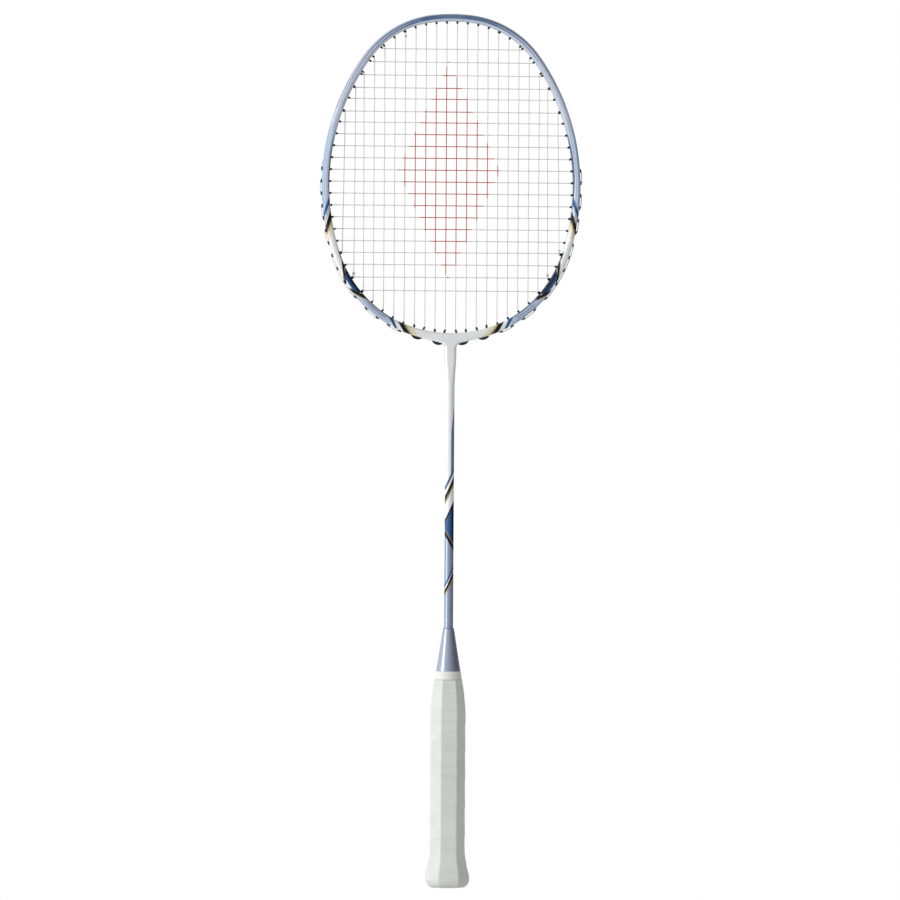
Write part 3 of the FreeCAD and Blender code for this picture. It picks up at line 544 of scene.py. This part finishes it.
def grip_mesh():
    """Closed tube: rings up the outside, then down the lining."""
    count = int((GRIP_HEAD - GRIP_FOOT) / RISE)
    levels = [GRIP_FOOT + (GRIP_HEAD - GRIP_FOOT) * k / count for k in range(count + 1)]
    rings = [tape_ring(z) for z in levels]
    rings += [tape_ring(z, True) for z in LINING_HEIGHTS]
    points = [p for ring in rings for p in ring]
    faces = []
    total = len(rings)
    for level in range(total):
        here, there = level * AROUND, (level + 1) % total * AROUND
        for k in range(AROUND):
            after = (k + 1) % AROUND
            faces.append((here + k, here + after, there + after, there + k))
    mesh = bpy.data.meshes.new("grip_tape")
    mesh.from_pydata(points, [], faces)
    mesh.validate()
    for polygon in mesh.polygons:
        polygon.use_smooth = True
    return mesh


grip = bpy.data.objects.new("grip_tape", grip_mesh())
bpy.context.scene.collection.objects.link(grip)
tape = Paint("grip_tape_pu", Sheen_Weight=0.15, Specular_IOR_Level=0.3)
pores = tape.cells(1500.0)
soft = tape.noise(60.0, 4.0)
fibres = tape.noise(700.0, 3.0)
turn_field = tape.x.op("ARCTAN2", -tape.y)
phase = ((tape.z + turn_field * (PITCH / (2 * pi))) / PITCH).op("FRACT")
shade = phase.below(0.045, 0.05) * 0.10
skin_tone = tape.layer(srgb("e9ebe7"), srgb("dee0db"), soft.above(0.5, 0.5))
skin_tone = tape.layer(skin_tone, srgb("b4b4ab"), shade)
# fine creases round the tape: real relief, with painted shade darkening their lines
crease_relief_and_shade = tape.noise(260.0, 3.0, (0.12, 0.12, 1.6))
skin_tone = tape.layer(skin_tone, srgb("c2c4be"), crease_relief_and_shade.above(0.58, 0.16) * 0.14)
# painted shade: the tape darker towards the bottom, where the flare faces downward
skin_tone = tape.layer(skin_tone, srgb("c6c6be"), tape.z.below(5.0, 6.0) * 0.35)
tape.base(skin_tone)
tape.number("Roughness", fibres * 0.2 + 0.55)
tape.relief(pores * 0.25 + fibres * 0.4 + crease_relief_and_shade * 0.6, 0.08)
wear(grip, tape)
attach(grip, next(iter(frame["bodies"])))
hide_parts("grip_wrap")

band = Paint("grip_band_tape", Specular_IOR_Level=0.35)
weave = band.noise(900.0, 3.0)
edge_line = (band.z * 1.4).op("FRACT").below(0.18, 0.1)
band_tone = band.layer(srgb("f6f6f4"), srgb("e8e8e5"), weave.above(0.5, 0.4))
band.base(band.layer(band_tone, srgb("c9c9c2"), edge_line * 0.5))
band.number("Roughness", weave * 0.2 + 0.4)
band.relief(weave, 0.03)
wear(NODES["grip_band"], band)

# ------------------------------------------------------------ stage
DISTANCE = 5.0
AZIMUTH = radians(4.7)
ROLL = radians(0.35)
SCALE = 0.7732 * MM  # of the object to one pixel
PIXELS = 900
SENSOR = 36.0
TARGET = Vector((0.0003, 0.0, 0.3380))

camera_data = bpy.data.cameras.new("camera")
camera_data.sensor_width = SENSOR
camera_data.lens = SENSOR * DISTANCE / (PIXELS * SCALE)
camera_data.clip_end = 60.0
camera = bpy.data.objects.new("camera", camera_data)
bpy.context.scene.collection.objects.link(camera)
direction = Vector((sin(AZIMUTH), cos(AZIMUTH), 0.0))
camera.location = TARGET - direction * DISTANCE
look = direction.to_track_quat("-Z", "Y").to_matrix()
camera.rotation_euler = (look @ Matrix.Rotation(ROLL, 3, "Z")).to_euler()
bpy.context.scene.camera = camera

# A soft studio: the world is brightest on the left and fades to the right, while camera
# rays that meet nothing see it as plain white.
WORLD_MIDDLE, WORLD_SLOPE, WORLD_LEAST = 0.60, -0.52, 0.04
BACKDROP = 1.0
world = bpy.data.worlds.new("studio")
bpy.context.scene.world = world
world.use_nodes = True
air = world.node_tree
coords = air.nodes.new("ShaderNodeTexCoord")
split = air.nodes.new("ShaderNodeSeparateXYZ")
air.links.new(coords.outputs["Generated"], split.inputs[0])
ramp = air.nodes.new("ShaderNodeMath")
ramp.operation = "MULTIPLY_ADD"
ramp.inputs[1].default_value = WORLD_SLOPE
ramp.inputs[2].default_value = WORLD_MIDDLE
air.links.new(split.outputs[0], ramp.inputs[0])
paths = air.nodes.new("ShaderNodeLightPath")
seen = air.nodes.new("ShaderNodeMix")
seen.data_type = "FLOAT"
seen.inputs[3].default_value = BACKDROP
air.links.new(paths.outputs["Is Camera Ray"], seen.inputs[0])
dim = air.nodes.new("ShaderNodeMath")
dim.operation = "MAXIMUM"
dim.inputs[1].default_value = WORLD_LEAST
air.links.new(ramp.outputs[0], dim.inputs[0])
air.links.new(dim.outputs[0], seen.inputs[2])
ground = air.nodes["Background"]
ground.inputs[0].default_value = (1, 1, 1, 1)
air.links.new(seen.outputs[0], ground.inputs[1])
bpy.context.scene.view_settings.view_transform = "Standard"

FLOOR_SPAN = 5.5  # half its width, short enough to stay out of the photograph's view
FLOOR_Z = -0.45
FLOOR_PALE = (0.92, 0.92, 0.92, 1.0)
corners = [(x * FLOOR_SPAN, y * FLOOR_SPAN, 0) for x, y in ((-1, -1), (1, -1), (1, 1), (-1, 1))]
floor_mesh = bpy.data.meshes.new("floor")
floor_mesh.from_pydata(corners, [], [(0, 1, 2, 3)])
floor = bpy.data.objects.new("floor", floor_mesh)
bpy.context.scene.collection.objects.link(floor)
floor.location = (0, 0, FLOOR_Z)
wear(floor, Paint("floor_paper", Base_Color=FLOOR_PALE, Roughness=0.95, Specular_IOR_Level=0.0))

KEY_PLACE, KEY_AIM = Vector((-1.9, -0.9, 0.6)), Vector((0, 0, 0.35))
KEY_POWER = 16.0
KEY_SIZE = (0.5, 1.8)
key_data = bpy.data.lights.new("key_left", "AREA")
key_data.energy = KEY_POWER
key_data.shape = "RECTANGLE"
key_data.size, key_data.size_y = KEY_SIZE
key = bpy.data.objects.new("key_left", key_data)
bpy.context.scene.collection.objects.link(key)
key.location = KEY_PLACE
key.rotation_euler = (KEY_AIM - KEY_PLACE).to_track_quat("-Z", "Y").to_euler()
